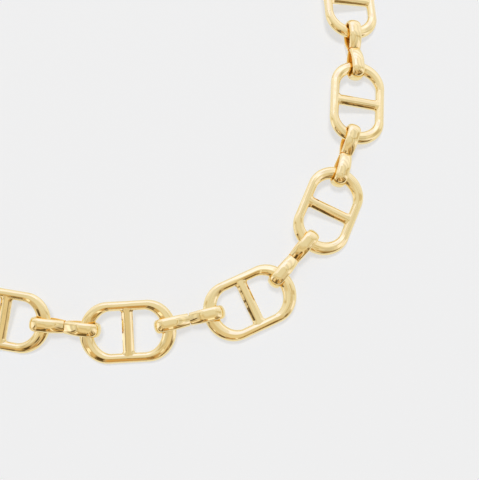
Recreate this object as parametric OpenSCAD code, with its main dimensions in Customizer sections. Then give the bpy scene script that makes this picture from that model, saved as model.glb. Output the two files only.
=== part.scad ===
// Mariner link necklace, laid out on a flat surface as a closed loop.
// Flat oval links with a bar across the middle lie between small figure-eight
// connectors that stand on edge. Millimetres, +Z up, the surface at z = 0.

/* [Link] */
// Length of a main link
link_l = 23.8; // [23.4:0.1:24.2]
// Width of a main link
link_w = 15.1; // [14.8:0.05:15.4]
// Length of a link's round end, from its tip to where the straight sides start
bow_l = 7.5; // [7:0.1:7.9]
// Width of the wire along the straight sides, seen from above
side_w = 2.45; // [2.2:0.05:2.6]
// Height of the wire along the straight sides
side_h = 2.1; // [1.9:0.05:2.3]
// Width of the wire at the tip of a round end, seen from above
tip_w = 3.45; // [3.1:0.05:3.6]
// Height of the wire at the tip of a round end
tip_h = 2.4; // [2.1:0.05:2.5]

/* [Bar] */
// Width of the bar across the middle of a link
bar_w = 2.9; // [2.4:0.1:3.4]
// Height of the bar
bar_h = 1.9; // [1.6:0.1:2]

/* [Connector] */
// Width of the strap that a connector is bent from
strap_w = 3.4; // [3:0.05:3.5]
// Thickness of the strap
strap_t = 1.25; // [1.1:0.05:1.4]
// Width of a connector's waist, as a share of the strap's width
waist_share = 0.92; // [0.8:0.02:0.96]
// Length of the slope from the waist up to the full height
ramp_l = 4.4; // [3.8:0.1:4.6]

/* [Clearance] */
// Space along the chain between a taut link and its connector
play = 0.41; // [0.34:0.01:0.42]
// Space above and below a link's wire inside a connector
head_room = 0.35; // [0.3:0.01:0.45]

/* [Loop] */
// Width of the oval that the far side of the chain follows
oval_w = 127.4; // [127:0.2:128]
// Height of that oval
oval_h = 147.4; // [147:0.2:148]
// Spacing of the links along the oval
pitch = 31; // [30.8:0.1:31.2]
// Sideways lean of the chain, its inner edge raised
lean = 15; // [12:1:17]

/* [Hidden] */
link_count = 14;
GOLD = [0.89, 0.79, 0.55];

// Where the near links lie, from the oval's middle: east, north, heading, lean
NEAR = [
    [-25.4, -68.0, -10, lean],
    [5.2, -71.1, 3, lean - 2],
    [34.8, -64.0, 25, lean - 10],
    [54.8, -40.5, 67, lean - 2],
    [63.4, -10.6, 86, lean - 1],
    [62.5, 20.3, 94, lean],
];

// Columns of a placed piece, after its x, y and z
HEADING = 3;
SLOPE = 4;
LEAN = 5;

// Where the last near link lies on the oval, in degrees from east
near_end = 15;

// The layout is for links of this length, and grows with them
LAYOUT_LINK = 23.8;
grow = link_l / LAYOUT_LINK;

// The wire has this many sides, and a quarter turn of a round end this many steps
sides = 8;
bow_steps = 7;
bow_step = 90 / bow_steps;

// The middle line of a link's rim: half its width, and how far a round end reaches
rim_y = (link_w - side_w) / 2;
bow_r = bow_l - tip_w / 2;

// The strap's middle line: its height over an eye and at the waist, where a slit
// is left between the two straps that the waist's core fills
connector_h = tip_h + 2 * (strap_t + head_room);
crest_z = (connector_h - strap_t) / 2;
slit = 0.1;
waist_z = (strap_t + slit) / 2;
core_share = 0.8;
ramp_steps = 3;
arc_step = 22.5;

// The strap's cross-section in halves of its width and in thicknesses, outer side up
STRAP_SECTION = [
    [0.45, 0.5], [1, -0.05], [1, -0.35], [0.8, -0.5],
    [-0.8, -0.5], [-1, -0.35], [-1, -0.05], [-0.45, 0.5],
];

// The clasp takes the place of the connector after this link, on the far side of the loop
clasp_joint = 9;

function numbered(word, k) = str(word, k < 10 ? "0" : "", k);
function connector_joint(k) = k < clasp_joint ? k : k + 1;
function unit(v) = v / norm(v);
function turned(p, angle) = [p.x * cos(angle) - p.y * sin(angle), p.x * sin(angle) + p.y * cos(angle)];

// Middle line of a link's rim. Angle 0 is the tip of the round end on that side,
// and 90 and -90 are where the straight sides start. The side is 1 or -1.
function rim_point(a, side) = side * [link_l / 2 - tip_w / 2 - bow_r + bow_r * cos(a), rim_y * sin(a)];
function rim_outward(a, side) = side * unit([cos(a) / bow_r, sin(a) / rim_y]);
function rim_half_w(a) = (side_w + (tip_w - side_w) * cos(a)) / 2;
function rim_half_h(a) = (side_h + (tip_h - side_h) * cos(a)) / 2;

// One ring of points round the rim's wire
side_turns = [for (j = [0 : sides - 1]) j * 360 / sides];
function rim_ring(a, side) = [
    for (turn = side_turns)
        let (flat = rim_point(a, side) + rim_outward(a, side) * rim_half_w(a) * cos(turn))
            [flat.x, flat.y, rim_half_h(a) * sin(turn)]
];
rim_rings = [
    for (side = [1, -1], step = [-bow_steps : bow_steps])
        rim_ring(step * bow_step, side)
];

// The bar runs into the middle of both side wires
function bar_ring(y) = [
    for (turn = side_turns)
        [bar_w / 2 * cos(turn), y, bar_h / 2 * sin(turn)]
];

// Middle line of the strap from the waist round one end: along, up, share of the slope climbed
function climb(q) = [ramp_l * q, waist_z + (crest_z - waist_z) * sin(90 * q), q];
function strap_line(length) =
    let (eye = (length - strap_t) / 2 - crest_z)
        concat(
            [for (i = [0 : ramp_steps]) climb(i / ramp_steps)],
            [for (a = [90 : -arc_step : -90]) [eye + crest_z * cos(a), crest_z * sin(a), 1]],
            [for (i = [ramp_steps : -1 : 0])
                let (p = climb(i / ramp_steps))
                    [p.x, -p.y, p.z]]
        );
function strap_half_w(q) = strap_w / 2 * (waist_share + (1 - waist_share) * sin(90 * q));

// Outward at the strap's i-th point, straight up or down at the waist so that two halves meet
function strap_outward(line, i) =
    let (last = len(line) - 1, way = line[min(i + 1, last)] - line[max(i - 1, 0)])
        i == 0 ? [0, 1] : i == last ? [0, -1] : unit([-way.y, way.x]);
function strap_rings(line) = [
    for (i = [0 : len(line) - 1])
        let (out = strap_outward(line, i) * strap_t, half_w = strap_half_w(line[i].z))
            [for (p = STRAP_SECTION) [line[i].x + out.x * p.y, half_w * p.x, line[i].y + out.y * p.y]]
];

// The far side of the chain: equal steps along the oval, each from the middle of the last
function oval_point(t) = [oval_w / 2 * cos(t), oval_h / 2 * sin(t)];
function oval_heading(t) = atan2(oval_h * cos(t), -oval_w * sin(t));
function oval_speed(t) = norm([oval_w * sin(t), oval_h * cos(t)]) * PI / 360;
function oval_next(t) = t + pitch / oval_speed(t + pitch / oval_speed(t) / 2);
function far_links(t, count) =
    count == 0
        ? []
        : concat([concat(oval_point(t), oval_heading(t), lean)], far_links(oval_next(t), count - 1));

// Every link's place. Their middles are level with each other, at height 0 until the chain is set down.
links = [
    for (row = concat(NEAR, far_links(oval_next(near_end), link_count - len(NEAR))))
        [row[0] * grow, row[1] * grow, 0, row[2], 0, row[3]]
];

// Where a point of a piece comes to lie
function laid(p, spot) =
    let (
        leant = turned([p.y, p.z], spot[LEAN]),
        raised = turned([p.x, leant.y], spot[SLOPE]),
        flat = turned([raised.x, leant.x], spot[HEADING])
    )
        [spot.x + flat.x, spot.y + flat.y, spot.z + raised.y];

// Where on its rim a link is held by a connector that pulls in a given direction
function held_at(spot, pull) = atan2(sin(pull - spot[HEADING]) * rim_y, cos(pull - spot[HEADING]) * bow_r);
function hold(spot, side, pull) = laid(concat(rim_point(held_at(spot, pull), side), 0), spot);

// The straight line between two links' holds: start, end, direction. Each pass halves the
// difference between the pull that was tried and the way that the line then runs.
function direction(v) = atan2(v.y, v.x);
function span(from, to, pull, passes = 8) =
    let (p = hold(from, 1, pull), q = hold(to, -1, pull))
        passes == 0
            ? [p, q, direction(q - p)]
            : span(from, to, direction(unit(q - p) + [cos(pull), sin(pull), 0]), passes - 1);
function joined(k) =
    let (from = links[k - 1], to = links[k % link_count])
        span(from, to, direction(to - from));
joints = [for (k = [1 : link_count]) joined(k)];

// What a joint needs between the two inner faces of its connector
function joint_length(k) =
    let (joint = joints[k - 1])
        norm(joint[1] - joint[0])
        + rim_half_w(held_at(links[k - 1], joint[2]))
        + rim_half_w(held_at(links[k % link_count], joint[2]));
connector_l = max([for (k = [1 : link_count]) joint_length(k)]) + 2 * (strap_t + play);

// A connector lies halfway between the two wires that it holds, and leans as they do
connectors = [
    for (k = [1 : link_count])
        let (joint = joints[k - 1], reach = joint[1] - joint[0])
            concat(
                (joint[0] + joint[1]) / 2,
                joint[2],
                asin(reach.z / norm(reach)),
                (links[k - 1][LEAN] + links[k % link_count][LEAN]) / 2
            )
];
connector_rings = strap_rings(strap_line(connector_l));

// The clasp's rounded edges, the metal between its eyes, and its height
clasp_corner = 0.8;
clasp_web = 2.2;
clasp_h = connector_h;
round_steps = 48;

// The box round all the pieces. It's centred over the origin, with its underside at height 0.
outline = concat(
    [for (spot = links) for (ring = rim_rings) for (p = ring) laid(p, spot)],
    [for (spot = connectors) for (ring = connector_rings) for (p = ring) for (end = [1, -1])
        laid([p.x * end, p.y * end, p.z], spot)]
);
xs = [for (p = outline) p.x];
ys = [for (p = outline) p.y];
zs = [for (p = outline) p.z];
origin = [(max(xs) + min(xs)) / 2, (max(ys) + min(ys)) / 2, min(zs)];

// Triangles between one ring of points and the next
function bands(rings, closed) = [
    for (i = [0 : rings - (closed ? 1 : 2)], j = [0 : sides - 1], half = [0, 1])
        let (
            here = i * sides,
            there = (i + 1) % rings * sides,
            next = (j + 1) % sides
        )
            half == 0 ? [here + j, here + next, there + next] : [here + j, there + next, there + j]
];

module skin(rings, closed) {
    last = (len(rings) - 1) * sides;
    caps = closed ? [] : [
        [for (j = [sides - 1 : -1 : 0]) j],
        [for (j = [0 : sides - 1]) last + j]
    ];
    polyhedron(points = [for (ring = rings) each ring], faces = concat(bands(len(rings), closed), caps));
}

module lay(spot) {
    translate([spot.x, spot.y, spot.z] - origin)
        rotate([0, -spot[SLOPE], spot[HEADING]])
            rotate([spot[LEAN], 0, 0])
                children();
}

module link(k) {
    color(GOLD)
        lay(links[k - 1]) {
            skin(rim_rings, true);
            skin([bar_ring(-rim_y), bar_ring(rim_y)], false);
        }
}

// Two straps bent round the ends, and the metal that joins them at the waist
module connector(k) {
    color(GOLD)
        lay(connectors[connector_joint(k) - 1]) {
            skin(connector_rings, false);
            rotate([0, 0, 180]) skin(connector_rings, false);
            cube([strap_t, strap_w * waist_share * core_share, strap_t], center = true);
        }
}

// A bar with round ends, seen from its side
module pill(length, height) {
    square([length - height, height], center = true);
    for (side = [1, -1])
        translate([side * (length - height) / 2, 0])
            circle(d = height, $fn = round_steps);
}

// One plain piece in place of a connector: a pill with an eye for each link
module clasp() {
    eye_l = (connector_l - clasp_web) / 2 - strap_t;
    color(GOLD)
        lay(connectors[clasp_joint - 1])
            intersection() {
                rotate([90, 0, 0])
                    linear_extrude(strap_w, center = true)
                        difference() {
                            pill(connector_l, clasp_h);
                            for (side = [1, -1])
                                translate([side * (clasp_web + eye_l) / 2, 0])
                                    pill(eye_l, clasp_h - 2 * strap_t);
                        }
                rotate([90, 0, 90])
                    linear_extrude(connector_l + clasp_web, center = true)
                        softened(strap_w, clasp_h, clasp_corner);
            }
}

module softened(width, height, corner) {
    square([width - 2 * corner, height], center = true);
    square([width, height - 2 * corner], center = true);
    for (x = [1, -1], y = [1, -1])
        translate([x * (width / 2 - corner), y * (height / 2 - corner)])
            circle(corner, $fn = round_steps);
}

for (k = [1 : link_count])
    link(k);
for (k = [1 : link_count - 1])
    connector(k);
clasp();
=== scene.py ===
import math

import bmesh
import bpy
import numpy as np
from mathutils import Matrix, Vector


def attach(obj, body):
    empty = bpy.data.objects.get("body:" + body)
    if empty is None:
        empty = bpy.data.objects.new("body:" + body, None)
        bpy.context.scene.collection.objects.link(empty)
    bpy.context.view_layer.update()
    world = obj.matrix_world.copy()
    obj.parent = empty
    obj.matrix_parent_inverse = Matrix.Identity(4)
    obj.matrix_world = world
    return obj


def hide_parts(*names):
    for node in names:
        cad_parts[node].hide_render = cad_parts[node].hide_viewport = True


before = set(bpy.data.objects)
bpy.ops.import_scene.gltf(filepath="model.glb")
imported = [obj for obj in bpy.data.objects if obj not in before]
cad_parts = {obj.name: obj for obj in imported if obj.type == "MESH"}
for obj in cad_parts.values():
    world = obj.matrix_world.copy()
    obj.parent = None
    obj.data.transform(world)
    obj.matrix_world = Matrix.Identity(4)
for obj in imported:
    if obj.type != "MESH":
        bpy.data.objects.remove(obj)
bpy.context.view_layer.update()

mm = 0.001
fullTurn = 2 * math.pi
quarterTurn = fullTurn / 4
eighthTurn = fullTurn / 8
sharpAngle = math.radians(40)  # faces that meet at more than this keep a crisp edge between them

# Camera

shot = {
    "target": (0.03215, -0.04848, -0.0005),  # the point of the chain that the picture centres on, in metres
    "distance": 0.1789,
    "southTilt": 15.42,  # degrees off straight down, towards the picture's bottom edge
    "eastTilt": 0.87,
    "lens": 52.5,
    "sensor": 36,
    "nearest": 0.005,  # in metres: what is closer isn't drawn
}


def makeCamera(values):
    camera = bpy.data.objects.new("camera", bpy.data.cameras.new("camera"))
    bpy.context.scene.collection.objects.link(camera)
    south, east = math.radians(values["southTilt"]), math.radians(values["eastTilt"])
    back = Vector((math.sin(east) * math.cos(south), -math.sin(south), math.cos(east) * math.cos(south)))
    right = Vector((0, 1, 0)).cross(back).normalized()
    turned = Matrix((right, back.cross(right), back)).transposed()
    spot = Vector(values["target"]) + back * values["distance"]
    camera.matrix_world = Matrix.Translation(spot) @ turned.to_4x4()
    camera.data.lens = values["lens"]
    camera.data.sensor_width = values["sensor"]
    camera.data.clip_start = values["nearest"]
    bpy.context.scene.camera = camera


makeCamera(shot)
bpy.context.scene.view_settings.view_transform = "Standard"
print("camera set")

# Small helpers for geometry trees

seamWidth = 0.002  # in millimetres: points of two sheets that are nearer than this become one


class Number:  # a tree's socket that can be used in sums
    def __init__(self, tree, socket):
        self.tree, self.socket = tree, socket

    def math(self, operation, *others):
        node = self.tree.nodes.new("ShaderNodeMath")
        node.operation = operation
        for place, value in enumerate((self, *others)):
            if isinstance(value, Number):
                self.tree.links.new(value.socket, node.inputs[place])
            else:
                node.inputs[place].default_value = value
        return Number(self.tree, node.outputs[0])

    def __add__(self, other):
        return self.math("ADD", other)

    def __sub__(self, other):
        return self.math("SUBTRACT", other)

    def __mul__(self, other):
        return self.math("MULTIPLY", other)

    def __truediv__(self, other):
        return self.math("DIVIDE", other)

    def __pow__(self, other):
        return self.math("POWER", other)

    def __abs__(self):
        return self.math("ABSOLUTE")

    def minusFrom(self, value):
        return self * -1 + value

    def clamped(self):
        return self.math("MAXIMUM", 0.0).math("MINIMUM", 1.0)

    def sin(self):
        return self.math("SINE")

    def cos(self):
        return self.math("COSINE")

    def bulged(self, power):  # keeps the sign, and fills out a cosine's corners where the power is under 1
        return self.math("SIGN") * abs(self) ** power


class Plan:  # a geometry tree with named inputs
    def __init__(self, name, inputs, takesMesh=False):
        self.tree = bpy.data.node_groups.new(name, "GeometryNodeTree")
        self.sockets = {}
        if takesMesh:
            self.tree.interface.new_socket("Geometry", in_out="INPUT", socket_type="NodeSocketGeometry")
        for label, value in inputs.items():
            kind = "NodeSocketInt" if isinstance(value, int) else "NodeSocketFloat"
            socket = self.tree.interface.new_socket(label, in_out="INPUT", socket_type=kind)
            socket.default_value = value
            self.sockets[label] = socket.identifier
        socket = self.tree.interface.new_socket("Material", in_out="INPUT", socket_type="NodeSocketMaterial")
        self.sockets["Material"] = socket.identifier
        self.tree.interface.new_socket("Geometry", in_out="OUTPUT", socket_type="NodeSocketGeometry")
        self.inputs = self.tree.nodes.new("NodeGroupInput")

    def add(self, kind, **inputs):
        node = self.tree.nodes.new(kind)
        for label, value in inputs.items():
            socket = node.inputs[label.replace("_", " ")]
            if isinstance(value, Number):
                self.tree.links.new(value.socket, socket)
            elif isinstance(value, bpy.types.NodeSocket):
                self.tree.links.new(value, socket)
            else:
                socket.default_value = value
        return node

    def size(self, label):
        return Number(self.tree, self.inputs.outputs[label])

    def sheet(self, rows, columns, shape):  # a grid whose points go where shape(along, around) says
        counts = {"Vertices_X": rows + 1, "Vertices_Y": columns + 1}
        grid = self.add("GeometryNodeMeshGrid", Size_X=1.0, Size_Y=1.0, **counts)
        flat = self.add("ShaderNodeSeparateXYZ", Vector=self.add("GeometryNodeInputPosition").outputs[0])
        along, around = (Number(self.tree, flat.outputs[k]) + 0.5 for k in (0, 1))
        x, y, z = shape(along, around)
        place = self.add("ShaderNodeCombineXYZ", X=x, Y=y, Z=z)
        moved = self.add("GeometryNodeSetPosition", Geometry=grid.outputs["Mesh"], Position=place.outputs[0])
        return moved.outputs[0]

    def noise(self, **inputs):  # a soft noise from 0 to 1, another one for each seed
        node = self.add("ShaderNodeTexNoise", **inputs)
        node.noise_dimensions = "4D"
        self.tree.links.new(self.size("Seed").socket, node.inputs["W"])
        return Number(self.tree, node.outputs[0])

    def turnedRound(self, form):
        turned = self.add("GeometryNodeTransform", Geometry=form, Rotation=(0.0, 0.0, math.pi))
        return turned.outputs[0]

    def closed(self, *forms):  # joins sheets edge to edge
        joined = self.tree.nodes.new("GeometryNodeJoinGeometry")
        for form in forms:
            self.tree.links.new(form, joined.inputs[0])
        merged = self.add("GeometryNodeMergeByDistance", Geometry=joined.outputs[0], Distance=seamWidth)
        return merged.outputs[0]

    def fused(self, *forms):  # one body out of closed forms that run into each other
        union = self.tree.nodes.new("GeometryNodeMeshBoolean")
        union.operation = "UNION"
        union.solver = "EXACT"
        for form in forms:
            self.tree.links.new(form, union.inputs["Mesh 2"])
        return union.outputs[0]

    def finish(self, form):  # the last two nodes
        whole = self.add("GeometryNodeRealizeInstances", Geometry=form)
        dressed = self.add("GeometryNodeSetMaterial", Geometry=whole.outputs[0])
        self.tree.links.new(self.inputs.outputs["Material"], dressed.inputs["Material"])
        output = self.tree.nodes.new("NodeGroupOutput")
        self.tree.links.new(dressed.outputs[0], output.inputs[0])


def grow(name, plan, values, start=None):  # a tree's result as a plain mesh, in millimetres
    blank = bpy.data.objects.new(name, start.copy() if start else bpy.data.meshes.new(name))
    bpy.context.scene.collection.objects.link(blank)
    modifier = blank.modifiers.new("form", "NODES")
    modifier.node_group = plan.tree
    for label, value in values.items():
        modifier[plan.sockets[label]] = value
    mesh = bpy.data.meshes.new_from_object(blank.evaluated_get(bpy.context.evaluated_depsgraph_get()))
    bpy.data.objects.remove(blank)
    mesh.name = name
    return mesh


# Hand polish

polish = {
    "Wave Length": 2.6,  # of the shallow dents that hand polishing leaves, in millimetres
    "Wave Depth": 0.05,
    "Seed": 1,
}
dentTop = 0.95  # the noise stays under this, so every dent goes inward


def planPolish(values):  # takes a little off a finished form's surface, here more and there less
    plan = Plan("hand polish", values, takesMesh=True)
    waves = plan.noise(Scale=plan.size("Wave Length") ** -1, Detail=1.5)
    push = plan.tree.nodes.new("ShaderNodeVectorMath")
    push.operation = "SCALE"
    plan.tree.links.new(plan.tree.nodes.new("GeometryNodeInputNormal").outputs[0], push.inputs[0])
    depth = (waves - dentTop) * plan.size("Wave Depth")
    plan.tree.links.new(depth.socket, push.inputs["Scale"])
    start = plan.inputs.outputs["Geometry"]
    waved = plan.add("GeometryNodeSetPosition", Geometry=start, Offset=push.outputs[0])
    plan.finish(waved.outputs[0])
    return plan


polishPlan = planPolish(polish)

# Gold

gold = {
    "colour": (0.98, 0.79, 0.385, 1.0),
    "paleColour": (1.0, 0.83, 0.45, 1.0),
    "smooth": 0.03,  # roughness where the polish is best
    "worn": 0.10,
    "wearStart": 0.35,  # noise at which the wear starts, and at which it is full
    "wearFull": 0.7,
    "grain": 1400.0,  # per metre, of the finest marks
    "wearSpread": 3,  # how many times wider than the marks the worn spots are, and the changes of tone
    "toneSpread": 8,
    "markDepth": 0.00002,
    "markStrength": 0.35,
}


def makeGold(name, values):
    material = bpy.data.materials.new(name)
    material.use_nodes = True
    nodes, links = material.node_tree.nodes, material.node_tree.links
    shader = nodes["Principled BSDF"]
    shader.inputs["Metallic"].default_value = 1.0
    place = nodes.new("ShaderNodeTexCoord").outputs["Object"]

    def noise(scale, detail):  # detail is how many finer layers it has
        node = nodes.new("ShaderNodeTexNoise")
        node.inputs["Scale"].default_value = scale
        node.inputs["Detail"].default_value = detail
        links.new(place, node.inputs["Vector"])
        return node.outputs[0]

    tone = nodes.new("ShaderNodeMix")
    tone.data_type = "RGBA"
    tone.inputs["A"].default_value = values["colour"]
    tone.inputs["B"].default_value = values["paleColour"]
    links.new(noise(values["grain"] / values["toneSpread"], detail=3.0), tone.inputs["Factor"])
    links.new(tone.outputs["Result"], shader.inputs["Base Color"])
    wear = nodes.new("ShaderNodeMapRange")
    wear.inputs["From Min"].default_value = values["wearStart"]
    wear.inputs["From Max"].default_value = values["wearFull"]
    wear.inputs["To Min"].default_value = values["smooth"]
    wear.inputs["To Max"].default_value = values["worn"]
    links.new(noise(values["grain"] / values["wearSpread"], detail=4.0), wear.inputs["Value"])
    links.new(wear.outputs["Result"], shader.inputs["Roughness"])
    bump = nodes.new("ShaderNodeBump")
    bump.inputs["Strength"].default_value = values["markStrength"]
    bump.inputs["Distance"].default_value = values["markDepth"]
    links.new(noise(values["grain"], detail=2.0), bump.inputs["Height"])
    links.new(bump.outputs[0], shader.inputs["Normal"])
    return material


paintedBounceGold = {  # between a connector's straps, where no polishing wheel gets: rougher, and a deeper orange that paints in the light bouncing to and fro
    **gold,
    # painted bounce light: an orange deeper than the gold's own colour
    "colour": (1.0, 0.62, 0.14, 1.0),
    "paleColour": (1.0, 0.68, 0.20, 1.0),
    "smooth": 0.28,
    "worn": 0.42,
}
goldMetal = makeGold("polished pale gold", gold)
paintedBounceMetal = makeGold("unpolished gold with painted bounce light", paintedBounceGold)

# Where the pieces lie


def placeOf(name, upAxis):  # a node's own middle and axes, read from its solid; upAxis 0 is its thinnest way
    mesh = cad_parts[name].data
    mesh.calc_loop_triangles()
    points = np.array([point.co for point in mesh.vertices])
    corners = points[np.array([list(triangle.vertices) for triangle in mesh.loop_triangles])]
    area = np.linalg.norm(np.cross(corners[:, 1] - corners[:, 0], corners[:, 2] - corners[:, 0]), axis=1)
    faceMiddle = corners.mean(axis=1)
    middle = (faceMiddle * area[:, None]).sum(axis=0) / area.sum()
    spread = sum(  # a triangle's second moments come from its corners and nine times its middle
        ((way - middle) * (area * weight)[:, None]).T @ (way - middle)
        for way, weight in [(corners[:, 0], 1), (corners[:, 1], 1), (corners[:, 2], 1), (faceMiddle, 9)]
    )
    axes = np.linalg.eigh(spread)[1]
    up = Vector(axes[:, upAxis])
    up *= math.copysign(1, up.z)
    ahead = Vector(axes[:, 2])
    ahead *= math.copysign(1, Vector((-middle[1], middle[0], 0)).dot(ahead))  # round the neck, anticlockwise
    turned = Matrix((ahead, up.cross(ahead), up)).transposed()
    return Matrix.Translation(Vector(middle)) @ turned.to_4x4() @ Matrix.Scale(mm, 4)


def putDown(form, node, dents, upAxis, dress=None):  # a form's own polished copy, in its node's place
    name = f"gold_{node}"
    mesh = grow(name, polishPlan, {**dents, "Material": goldMetal}, form)
    mesh.shade_smooth()
    mesh.set_sharp_from_angle(angle=sharpAngle)
    if dress:
        dress(mesh)
    mesh.transform(placeOf(node, upAxis))
    piece = bpy.data.objects.new(name, mesh)
    bpy.context.scene.collection.objects.link(piece)
    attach(piece, "root")
    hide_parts(node)


def numbered(word):
    return sorted(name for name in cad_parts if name.startswith(word))


# Links

link = {  # in millimetres; a hair smaller outside than the solid, as the polish lines stand proud in places
    "Length": 23.75,
    "Width": 15.05,
    "Bow Length": 7.5,  # of a round end, along the link
    "Side Width": 2.45,  # of the wire, along the straight sides
    "Side Height": 2.1,
    "Tip Width": 3.55,  # and at the middle of the round ends
    "Tip Height": 2.4,
    "Bar Width": 2.9,
    "Bar Height": 1.9,
    "Bar Fillet": 0.45,
    "Bar Facets": 0.5,  # 0 for a round bar, 1 for eight flats
    "Streak Depth": 0.12,  # of the fine lines that run along the wire, as a share of its half width
    "Streaks": 3.0,  # how close they lie round the wire
    "Seed": 1,
}
streakPull = 0.9  # how fast the lines change along the wire
streakTop = 0.8  # the noise seldom passes this, so the lines mostly go inward


def streak(plan, along, turn):  # a share near 1 that changes round a wire much faster than along it
    count = plan.size("Streaks")
    y, z = turn.cos() * count, turn.sin() * count
    place = plan.add("ShaderNodeCombineXYZ", X=along * streakPull, Y=y, Z=z)
    noise = plan.noise(Vector=place.outputs[0], Scale=1.0, Detail=1.0)
    return (noise - streakTop) * plan.size("Streak Depth") + 1.0


def planLink(values):
    plan = Plan("link", values)
    size = plan.size
    rimY = (size("Width") - size("Side Width")) / 2
    bowR = size("Bow Length") - size("Tip Width") / 2
    straight = (size("Length") - size("Tip Width")) / 2 - bowR
    rimSteps, barSteps = 64, 48  # faces round the wire, and along half a rim or the bar
    barEnd = 0.499  # share of the bar from its middle, past which the last ring closes to a point

    def rim(along, around):  # a round end, then the straight side that follows it
        bend = (along * 2).clamped() * math.pi - quarterTurn
        slide = (along * 2 - 1).clamped()
        outX, outY = bend.cos() / bowR, bend.sin() / rimY
        unit = (outX * outX + outY * outY) ** -0.5
        halfW = (size("Side Width") + (size("Tip Width") - size("Side Width")) * bend.cos()) / 2
        halfH = (size("Side Height") + (size("Tip Height") - size("Side Height")) * bend.cos()) / 2
        turn = around * fullTurn
        share = streak(plan, along, turn)
        reach = halfW * turn.cos() * unit * share
        x = straight + bowR * bend.cos() - straight * slide * 2 + outX * reach
        return x, rimY * bend.sin() + outY * reach, halfH * turn.sin() * share

    def bar(along, around):  # from the middle of one side wire to the other's, with fillets where they meet
        y = (along - 0.5) * rimY * 2
        full = abs(along - 0.5).math("LESS_THAN", barEnd)
        fromWire = (((rimY - size("Side Width") / 2) - abs(y)) / size("Bar Fillet")).clamped()
        flare = ((fromWire.minusFrom(1) ** 2).minusFrom(1) ** 0.5).minusFrom(1) * size("Bar Fillet")
        turn = around * fullTurn
        halfW = (size("Bar Width") / 2 + flare) * full
        fromFlat = (turn + eighthTurn / 2).math("FLOORED_MODULO", eighthTurn) - eighthTurn / 2
        out = (fromFlat.cos() ** -1 - 1) * size("Bar Facets") + streak(plan, along, turn)
        return halfW * turn.cos() * out, y, size("Bar Height") / 2 * turn.sin() * full * out

    half = plan.sheet(rimSteps, rimSteps, rim)
    whole = plan.closed(half, plan.turnedRound(half))
    plan.finish(plan.fused(whole, plan.closed(plan.sheet(barSteps, barSteps, bar))))
    return plan


linkPlan = planLink(link)
linkForm = grow("link form", linkPlan, {"Material": goldMetal})
linkSeedStep = 7
for count, node in enumerate(numbered("link_")):
    putDown(linkForm, node, {"Seed": polish["Seed"] + count * linkSeedStep}, 0)
print("links made")

# Connectors

connector = {  # in millimetres
    "Length": 17.68,
    "Width": 3.4,
    "Thickness": 1.25,
    "Waist Share": 0.92,  # of the full width, where the two straps meet
    "Ramp": 4.4,  # length of the climb from the waist to the crest
    "Crest": 2.175,  # height of the strap's middle line over the eye
    "Waist Height": 0.675,
}
strapDents = {"Wave Length": 1.0, "Wave Depth": 0.04, "Seed": 200}  # closer dents than a link's


def planConnector(values):
    plan = Plan("connector", values)
    size = plan.size
    thick = size("Thickness")
    eyeX = size("Length") / 2 - thick / 2 - size("Crest")
    climbUp = size("Crest") - size("Waist Height")
    climbShare, levelShare = 0.45, 0.1  # of the faces: up from the waist, and level over the eye
    endFrom = climbShare + levelShare
    lean, leanGain = 0.4, 2  # how much the section leans with the climb, and how soon it leans fully
    domeShare = 0.7  # of the thickness, for the rounded top
    innerPower, edgePower, edgeGain = 0.5, 0.85, 0.1  # powers under 1 fill out the section's corners
    ringEnd = 0.001  # nearer to the waist than this, the last ring closes to a point
    lengthSteps, roundSteps = 96, 32

    def strap(flatness):  # 0 makes the top round across, and more makes it flatter
        def shape(along, around):  # from the waist over the top, round the end and back underneath
            fromWaist = abs(along * 2 - 1).minusFrom(1)
            side = (along * -2 + 1).math("SIGN")
            climb = (fromWaist / climbShare).clamped()
            level = ((fromWaist - climbShare) / levelShare).clamped()
            bend = ((fromWaist - endFrom) / (1 - endFrom)).clamped() * quarterTurn
            rise = (climb * quarterTurn).sin()
            x = size("Ramp") * climb + (eyeX - size("Ramp")) * level + size("Crest") * bend.sin()
            z = (size("Waist Height") + climbUp * rise) * bend.cos()
            slope = (climbUp * (climb * quarterTurn).cos() * quarterTurn / size("Ramp")).math("ARCTANGENT")
            out = bend - slope * (climb * leanGain + lean).clamped()
            rounded = bend / quarterTurn
            full = fromWaist.math("GREATER_THAN", ringEnd)
            share = size("Waist Share") + size("Waist Share").minusFrom(1) * rise
            halfW = size("Width") / 2 * share * full
            turn = around * fullTurn
            dome = turn.sin().math("MAXIMUM", 0.0) ** (rounded * flatness + (1 - flatness))
            inner = turn.sin().math("MINIMUM", 0.0).bulged(innerPower)
            proud = thick * (dome * domeShare + inner * (1 - domeShare) - (domeShare - 0.5)) * full
            across = halfW * turn.cos().bulged(rounded * edgeGain + edgePower)
            return x + out.sin() * proud, across, (z + out.cos() * proud) * side

        return shape

    roundHalf = plan.closed(plan.sheet(lengthSteps, roundSteps, strap(flatness=0.1)))
    flatHalf = plan.closed(plan.sheet(lengthSteps, roundSteps, strap(flatness=0.3)))
    waistBlock = plan.add("GeometryNodeMeshCube", Size=(1.4, 2.0, 1.4))  # joins the straps where they meet
    plan.finish(plan.fused(flatHalf, plan.turnedRound(roundHalf), waistBlock.outputs["Mesh"]))
    return plan


paintedBounceSlant = -0.1  # height times slant under which a face looks back at the connector's middle and gets the painted bounce light


def paintBounceInside(mesh):  # the rougher gold, whose deeper orange is painted bounce light, where the straps face each other
    mesh.materials.append(paintedBounceMetal)
    for face in mesh.polygons:
        if face.center.z * face.normal.z < paintedBounceSlant:
            face.material_index = 1


connectorPlan = planConnector(connector)
connectorForm = grow("connector form", connectorPlan, {"Material": goldMetal})
strapSeedStep = 11
for count, node in enumerate(numbered("connector_")):
    dents = {**strapDents, "Seed": strapDents["Seed"] + count * strapSeedStep}
    putDown(connectorForm, node, dents, 1, paintBounceInside)
print("connectors made")

# Clasp

clasp = {
    "merge": 0.001,  # in millimetres, as the edge's width is
    "edge": 0.28,
    "steps": 3,
    "flat": 1,  # degrees under which two faces become one
}


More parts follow.
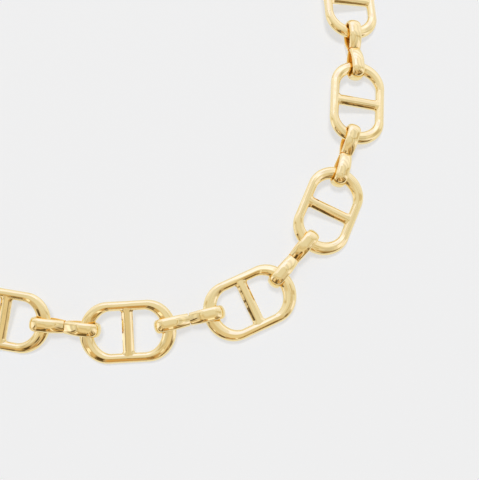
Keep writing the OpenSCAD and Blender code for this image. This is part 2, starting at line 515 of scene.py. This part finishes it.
def makeClasp(values):  # the solid's own form with its edges polished round
    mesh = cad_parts["clasp"].data.copy()
    mesh.name = "gold_clasp"
    mesh.materials.clear()
    mesh.materials.append(goldMetal)
    work = bmesh.new()
    work.from_mesh(mesh)
    bmesh.ops.remove_doubles(work, verts=work.verts, dist=values["merge"] * mm)
    flat = math.radians(values["flat"])
    bmesh.ops.dissolve_limit(work, angle_limit=flat, verts=work.verts, edges=work.edges)
    sharp = [edge for edge in work.edges if edge.calc_face_angle(0) > sharpAngle]
    bmesh.ops.bevel(
        work, geom=sharp, offset=values["edge"] * mm, segments=values["steps"], profile=0.5,
        affect="EDGES", clamp_overlap=True, material=-1,
    )
    for face in work.faces:
        face.smooth = True
        face.material_index = 0
    work.to_mesh(mesh)
    work.free()
    mesh.set_sharp_from_angle(angle=sharpAngle)
    piece = bpy.data.objects.new("gold_clasp", mesh)
    bpy.context.scene.collection.objects.link(piece)
    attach(piece, "root")
    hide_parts("clasp")


makeClasp(clasp)
print("clasp made")

# Studio

studio = {
    "floorSize": 8.0,
    "floorColour": (0.46, 0.46, 0.46, 1.0),
    "floorRough": 0.9,
    "floorGloss": 0.1,
    "floorGlow": 0.55,  # the paper lies on a light table, so that its shadows stay pale
    "backdrop": 0.86,
    "fill": (0.35, 0.35, 0.355),  # soft light from all round, for all but mirrored light
    "bounce": (0.0, 0.35, 2.2),  # what reaches the floor by way of the gold
    "southAir": (0.54, 0.41, 0.27),  # the air that the gold mirrors, by side
    "air": (0.78, 0.77, 0.77),
    "northAir": (1.00, 1.02, 1.28),
    "southReach": 0.38,  # how far towards due south, at 1, the middle air goes, and how softly it ends
    "southEdge": 0.66,
    "northReach": 0.55,  # how far the northern air comes back from due north
    "northEdge": 0.70,
    "bands": 19.0,  # slats over the lights: how many to the full circle
    "bandDepth": 0.09,  # how much they dim and brighten
    "bandSharp": 3,  # how square they are
    "bandTop": 72,  # degrees up, where the slats end
    "bandFade": 8,
    "airGain": 1.02,
    "key": 20.0,
    "keySize": 0.6,
    "keyPlace": (-0.05, 0.32, 2.4),
    "keyAim": (0, -0.03, 0),
}
darkLine = (0.12, 0.08, 0.04)
tanLine = (0.58, 0.50, 0.37)
paleLine = (1.05, 1.02, 1.00)

# What the gold mirrors besides the air: boxes of light and shade. Each has a bearing (0 is the top of the
# picture, 90 its right side), a height, half its width and height and a soft edge, all in degrees.
panels = [
    {"bearing": 195, "height": 64, "wide": 62, "tall": 12, "edge": 8, "colour": (0.72, 0.64, 0.52)},
    {"bearing": 355, "height": 42, "wide": 30, "tall": 20, "edge": 6, "colour": (1.07, 1.13, 1.72)},
    {"bearing": 104, "height": 22, "wide": 9, "tall": 20, "edge": 3, "colour": (1.00, 0.98, 1.18)},
    {"bearing": 264, "height": 16, "wide": 14, "tall": 14, "edge": 5, "colour": (1.08, 1.06, 1.25)},
    {"bearing": 80, "height": 34, "wide": 4, "tall": 24, "edge": 3, "colour": (0.64, 0.56, 0.44)},
    {"bearing": 94, "height": 63, "wide": 30, "tall": 2.5, "edge": 1, "colour": tanLine},
    {"bearing": 262, "height": 58, "wide": 30, "tall": 2.5, "edge": 1, "colour": tanLine},
    {"bearing": 286, "height": 36, "wide": 4, "tall": 22, "edge": 3, "colour": (0.66, 0.58, 0.46)},
    {"bearing": 130, "height": 34, "wide": 5, "tall": 18, "edge": 1, "colour": (0.24, 0.17, 0.09)},
    {"bearing": 152, "height": 34, "wide": 9, "tall": 20, "edge": 3, "colour": (0.56, 0.38, 0.18)},
    {"bearing": 180, "height": 36, "wide": 14, "tall": 18, "edge": 4, "colour": (0.60, 0.37, 0.16)},
    {"bearing": 216, "height": 36, "wide": 12, "tall": 18, "edge": 4, "colour": (0.62, 0.45, 0.25)},
    {"bearing": 205, "height": 22, "wide": 8, "tall": 15, "edge": 2, "colour": (0.17, 0.12, 0.06)},
    {"bearing": 204, "height": 43, "wide": 7, "tall": 5, "edge": 2, "colour": (0.08, 0.05, 0.02)},
    {"bearing": 189, "height": 53, "wide": 5, "tall": 4, "edge": 2, "colour": darkLine},
    {"bearing": 242, "height": 28, "wide": 6, "tall": 13, "edge": 3, "colour": (0.58, 0.47, 0.31)},
    {"bearing": 245, "height": 34, "wide": 3, "tall": 14, "edge": 1, "colour": darkLine},
    {"bearing": 181, "height": 32, "wide": 2.5, "tall": 7, "edge": 1, "colour": darkLine},
    {"bearing": 148, "height": 37, "wide": 2.5, "tall": 8, "edge": 1, "colour": darkLine},
    {"bearing": 150, "height": 12, "wide": 12, "tall": 9, "edge": 2, "colour": (0.14, 0.09, 0.045)},
    {"bearing": 167, "height": 42, "wide": 3, "tall": 14, "edge": 1, "colour": paleLine},
    {"bearing": 224, "height": 34, "wide": 3, "tall": 14, "edge": 1, "colour": paleLine},
    {"bearing": 180, "height": 15, "wide": 14, "tall": 3, "edge": 1, "colour": (0.95, 0.90, 0.82)},
    {"bearing": 180, "height": 7, "wide": 62, "tall": 4, "edge": 1, "colour": (0.14, 0.09, 0.05)},
]


def makeFloor(values):
    half = values["floorSize"] / 2
    sheet = bpy.data.meshes.new("floor")
    corners = [(-half, -half, 0), (half, -half, 0), (half, half, 0), (-half, half, 0)]
    sheet.from_pydata(corners, [], [(0, 1, 2, 3)])
    floor = bpy.data.objects.new("floor", sheet)
    bpy.context.scene.collection.objects.link(floor)
    paper = bpy.data.materials.new("pale paper")
    paper.use_nodes = True
    shader = paper.node_tree.nodes["Principled BSDF"]
    shader.inputs["Base Color"].default_value = values["floorColour"]
    shader.inputs["Roughness"].default_value = values["floorRough"]
    shader.inputs["Specular IOR Level"].default_value = values["floorGloss"]
    shader.inputs["Emission Color"].default_value = (1.0, 1.0, 1.0, 1.0)
    shader.inputs["Emission Strength"].default_value = values["floorGlow"]
    sheet.materials.append(paper)


def makeAir(values, boxes):
    world = bpy.data.worlds.new("studio air")
    world.use_nodes = True
    tree = world.node_tree
    nodes, links = tree.nodes, tree.links
    way = nodes.new("ShaderNodeSeparateXYZ")
    links.new(nodes.new("ShaderNodeTexCoord").outputs["Generated"], way.inputs[0])
    east, north, up = (Number(tree, way.outputs[k]) for k in range(3))
    circle, halfCircle = 360, 180
    degree = halfCircle / math.pi
    bearing = east.math("ARCTAN2", north) * degree
    height = up.math("ARCSINE") * degree

    def inside(distance, reach, edge):
        node = nodes.new("ShaderNodeMapRange")
        node.interpolation_type = "SMOOTHSTEP"
        node.inputs["From Min"].default_value = reach + edge / 2
        node.inputs["From Max"].default_value = reach - edge / 2
        links.new(distance.socket, node.inputs["Value"])
        return Number(tree, node.outputs["Result"])

    def mixed(share, first, second):
        node = nodes.new("ShaderNodeMix")
        node.data_type = "RGBA"
        links.new(share.socket, node.inputs["Factor"])
        for label, colour in (("A", first), ("B", second)):
            if isinstance(colour, tuple):
                node.inputs[label].default_value = (*colour, 1.0)
            else:
                links.new(colour, node.inputs[label])
        return node.outputs["Result"]

    notSouth = inside(north * -1, values["southReach"], values["southEdge"])
    farNorth = inside(north.minusFrom(1), values["northReach"], values["northEdge"])
    colour = mixed(notSouth, values["southAir"], values["air"])
    colour = mixed(farNorth, colour, values["northAir"])
    for box in boxes:
        ahead = bearing - box["bearing"] + (circle + halfCircle)
        aside = abs(ahead.math("FLOORED_MODULO", circle) - halfCircle)
        above = abs(height - box["height"])
        share = inside(aside, box["wide"], box["edge"]) * inside(above, box["tall"], box["edge"])
        colour = mixed(share, colour, box["colour"])
    under = (height.minusFrom(values["bandTop"]) / values["bandFade"]).clamped()
    slats = (height * (values["bands"] / degree)).sin() * under * values["bandSharp"]
    dimmed = nodes.new("ShaderNodeVectorMath")
    dimmed.operation = "SCALE"
    links.new(colour, dimmed.inputs[0])
    gain = slats.math("MAXIMUM", -1.0).math("MINIMUM", 1.0) * values["bandDepth"] + values["airGain"]
    links.new(gain.socket, dimmed.inputs["Scale"])
    colour = dimmed.outputs[0]
    ray = nodes.new("ShaderNodeLightPath").outputs
    glossy = Number(tree, ray["Is Glossy Ray"])
    fromFloor = Number(tree, ray["Diffuse Depth"]).clamped()
    bounced = glossy * fromFloor
    colour = mixed(bounced, colour, values["bounce"])
    colour = mixed((glossy * fromFloor.minusFrom(1) + bounced).clamped(), values["fill"], colour)
    colour = mixed(Number(tree, ray["Is Camera Ray"]), colour, (values["backdrop"],) * 3)
    links.new(colour, nodes["Background"].inputs["Color"])
    bpy.context.scene.world = world


def makeKey(values):  # throws the soft shadows; the gold doesn't mirror it
    lamp = bpy.data.objects.new("key light", bpy.data.lights.new("key light", "AREA"))
    lamp.data.shape = "DISK"
    lamp.data.size = values["keySize"]
    lamp.data.energy = values["key"]
    lamp.location = values["keyPlace"]
    lamp.rotation_euler = (Vector(values["keyAim"]) - lamp.location).to_track_quat("-Z", "Y").to_euler()
    lamp.visible_glossy = False
    bpy.context.scene.collection.objects.link(lamp)


makeFloor(studio)
makeAir(studio, panels)
makeKey(studio)
print("studio lit")
